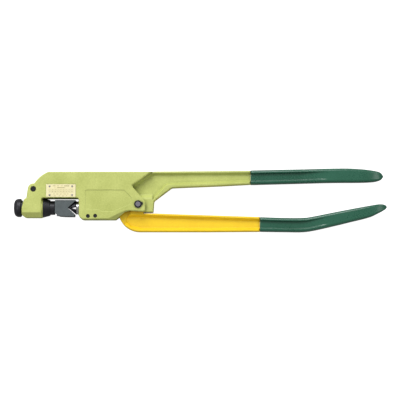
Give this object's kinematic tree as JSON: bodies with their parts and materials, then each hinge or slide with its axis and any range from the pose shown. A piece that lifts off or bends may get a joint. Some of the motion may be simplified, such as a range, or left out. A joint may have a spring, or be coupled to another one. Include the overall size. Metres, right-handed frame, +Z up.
{
  "type": "cable lug crimping tool",
  "caption": "Long-handled crimping tool: cast C-shaped head with an adjustable vee nest, a lever-driven ram, and two beams with dipped grips.",
  "frame": {"origin": "under the middle of the whole tool's box, on the surface that it lies on", "axes": "+X along the tool from the setting knob to the handle ends, +Y from the moving handle to the fixed handle, +Z up through the thickness"},
  "size_m": [0.642, 0.1096, 0.0412],
  "materials": {
    "green_enamel": "light yellow-green enamel on a cast surface",
    "yellow_enamel": "yellow enamel on a forging",
    "dipped_vinyl": "dark green dipped vinyl",
    "black_oxide": "black oxide",
    "dark_spring_steel": "dark spring steel",
    "grey_die_steel": "matte grey die steel",
    "pin_steel": "ground steel",
    "bright_steel": "bright turned steel",
    "bearing_bronze": "bearing bronze",
    "printed_plate": "cream printed plate"
  },
  "bodies": {
    "tool": {"head_frame": "green_enamel", "fixed_handle_grip": "dipped_vinyl", "name_plate": "printed_plate", "plate_screw_1": "pin_steel", "plate_screw_2": "pin_steel", "plate_screw_3": "pin_steel", "plate_screw_4": "pin_steel", "nose_cross_pin": "dark_spring_steel", "spring_washer": "dark_spring_steel", "nest_key": "pin_steel", "spindle_guide": "black_oxide", "ram_bush": "bearing_bronze", "pivot_pin": "pin_steel", "pivot_ring": "dark_spring_steel", "cheek_bush_front": "bearing_bronze", "cheek_bush_back": "bearing_bronze", "pawl_pin": "dark_spring_steel", "spring_pin": "dark_spring_steel", "pawl_spring": "pin_steel"},
    "handle": {"moving_handle": "yellow_enamel", "moving_handle_grip": "dipped_vinyl", "handle_bush": "bearing_bronze", "crank_pin": "pin_steel"},
    "ram": {"ram": "bright_steel", "indenter": "black_oxide", "indenter_collar": "bright_steel", "ram_pin": "pin_steel"},
    "link": {"link_front": "pin_steel", "link_back": "pin_steel"},
    "pawl": {"ratchet_pawl": "pin_steel"},
    "knob": {"setting_knob": "black_oxide", "knob_set_screw": "pin_steel", "adjusting_screw": "pin_steel"},
    "nest": {"nest_spindle": "black_oxide", "nest_die": "grey_die_steel", "nest_pin": "pin_steel"}
  },
  "joints": [
    {"name": "handle_pivot", "type": "hinge", "parent": "tool", "child": "handle", "pos_m": [-0.107, -0.0076, 0.019], "axis": [0, 0, -1], "range_deg": [0, 44]},
    {"name": "ram_slide", "type": "slide", "parent": "tool", "child": "ram", "axis": [1, 0, 0], "range_m": [0, 0.0098]},
    {"name": "link_pivot", "type": "hinge", "parent": "ram", "child": "link", "pos_m": [-0.17196, -0.013, 0.019], "axis": [0, 0, 1], "range_deg": [0, 14.7]},
    {"name": "pawl_pivot", "type": "hinge", "parent": "tool", "child": "pawl", "pos_m": [-0.1803, -0.0277, 0.019], "axis": [0, 0, 1], "range_deg": [-18, 18], "stiffness_Nm_per_rad": 0.02},
    {"name": "knob_turn", "type": "hinge", "parent": "tool", "child": "knob", "pos_m": [-0.3079, -0.013, 0.019], "axis": [1, 0, 0], "range_deg": [0, 270.2]},
    {"name": "nest_slide", "type": "slide", "parent": "tool", "child": "nest", "axis": [-1, 0, 0], "range_m": [0, 0.006]}
  ],
  "couplings": [
    {"joint": "ram_slide", "follows": "handle_pivot", "m_per_rad": 0.012737},
    {"joint": "link_pivot", "follows": "handle_pivot", "ratio": 0.33382},
    {"joint": "knob_turn", "follows": "nest_slide", "rad_per_m": 785.4}
  ]
}
